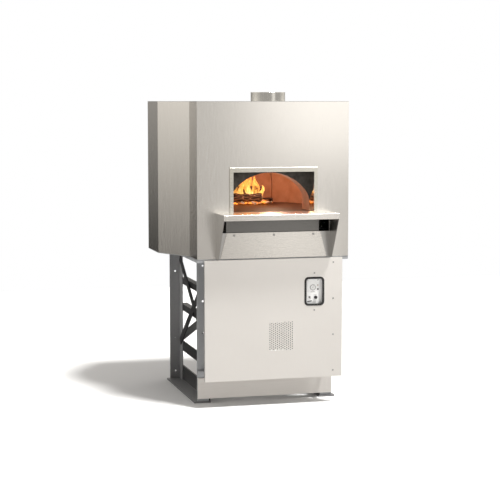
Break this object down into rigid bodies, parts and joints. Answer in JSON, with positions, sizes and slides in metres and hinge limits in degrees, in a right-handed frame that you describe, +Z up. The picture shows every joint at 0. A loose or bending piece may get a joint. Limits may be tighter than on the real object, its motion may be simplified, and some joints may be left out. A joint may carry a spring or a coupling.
{
  "type": "wood fired pizza oven",
  "caption": "Steel-clad dome pizza oven on a braced steel stand, with an arched mouth behind a square doorway, a mantle shelf, a flue collar and a service panel.",
  "frame": {"origin": "on the floor, below the middle of the oven's overall box", "axes": "+Z up; the doorway faces -Y; +X is to the right as the cook faces the doorway"},
  "size_m": [1.257, 1.417, 1.961],
  "materials": {
    "casing_steel": "satin",
    "polished_steel": "polished",
    "galvanised_steel": "satin",
    "hot_dark_steel": "matte",
    "stand_grey": "satin",
    "stand_dark": "satin",
    "oven_ceramic": "matte",
    "hearth_ceramic": "matte",
    "insulation": "matte",
    "log_wood": "matte",
    "embers": "matte",
    "control_white": "satin",
    "control_black": "gloss",
    "lamp_lens": "gloss",
    "gasket_rubber": "matte",
    "screw_steel": "satin",
    "bright_metal": "polished"
  },
  "bodies": {
    "oven": {"arch_face_plate": "hot_dark_steel", "back_panel": "casing_steel", "base_angle_left": "stand_dark", "base_angle_right": "stand_dark", "bottom_pan": "galvanised_steel", "casing_wrap_left": "casing_steel", "casing_wrap_right": "casing_steel", "control_face": "control_white", "control_housing": "galvanised_steel", "cross_brace_left": "stand_dark", "cross_brace_right": "stand_dark", "dome_segment_1": "oven_ceramic", "dome_segment_2": "oven_ceramic", "dome_segment_3": "oven_ceramic", "dome_segment_4": "oven_ceramic", "dome_segment_5": "oven_ceramic", "dome_segment_6": "oven_ceramic", "dome_segment_7": "oven_ceramic", "dome_segment_8": "oven_ceramic", "door_frame": "casing_steel", "ember_bed": "embers", "facade_shell": "casing_steel", "firewood": "log_wood", "flue_collar": "casing_steel", "gauge": "control_black", "gusset_left": "casing_steel", "gusset_right": "casing_steel", "hearth_deck": "galvanised_steel", "hearth_insulation": "insulation", "hearth_slab": "hearth_ceramic", "insulation_blanket": "insulation", "jamb_liner_left": "polished_steel", "jamb_liner_right": "polished_steel", "kick_plate": "casing_steel", "leg_front_left": "stand_grey", "leg_front_right": "stand_grey", "leg_rear_left": "stand_grey", "leg_rear_right": "stand_grey", "log_guard": "hot_dark_steel", "mantle_beam": "galvanised_steel", "mantle_shelf": "casing_steel", "mouth_arch": "oven_ceramic", "mouth_crown": "oven_ceramic", "pan_head_screws": "screw_steel", "panel_support": "stand_grey", "plenum_hood": "galvanised_steel", "rear_brace": "stand_grey", "service_panel": "casing_steel", "side_rails_left": "stand_dark", "side_rails_right": "stand_dark", "status_lamp": "lamp_lens", "toggle_bezel": "bright_metal", "top_frame": "stand_grey", "top_panel": "casing_steel", "under_mantle_cover": "casing_steel", "vent_insert": "casing_steel", "window_gasket": "gasket_rubber"},
    "selector_knob": {"selector_knob": "control_black"},
    "toggle_lever": {"toggle_lever": "bright_metal"},
    "reset_button": {"reset_button": "control_black"}
  },
  "joints": [
    {"name": "knob_turn", "type": "hinge", "parent": "oven", "child": "selector_knob", "pos_m": [0.275, -0.5125, 0.677], "axis": [0, 1, 0], "range_deg": [0, 270]},
    {"name": "toggle_swing", "type": "hinge", "parent": "oven", "child": "toggle_lever", "pos_m": [0.236, -0.5125, 0.679], "axis": [-1, 0, 0], "range_deg": [0, 28]},
    {"name": "button_press", "type": "slide", "parent": "oven", "child": "reset_button", "axis": [0, 1, 0], "range_m": [0, 0.0025], "stiffness_N_per_m": 300}
  ]
}
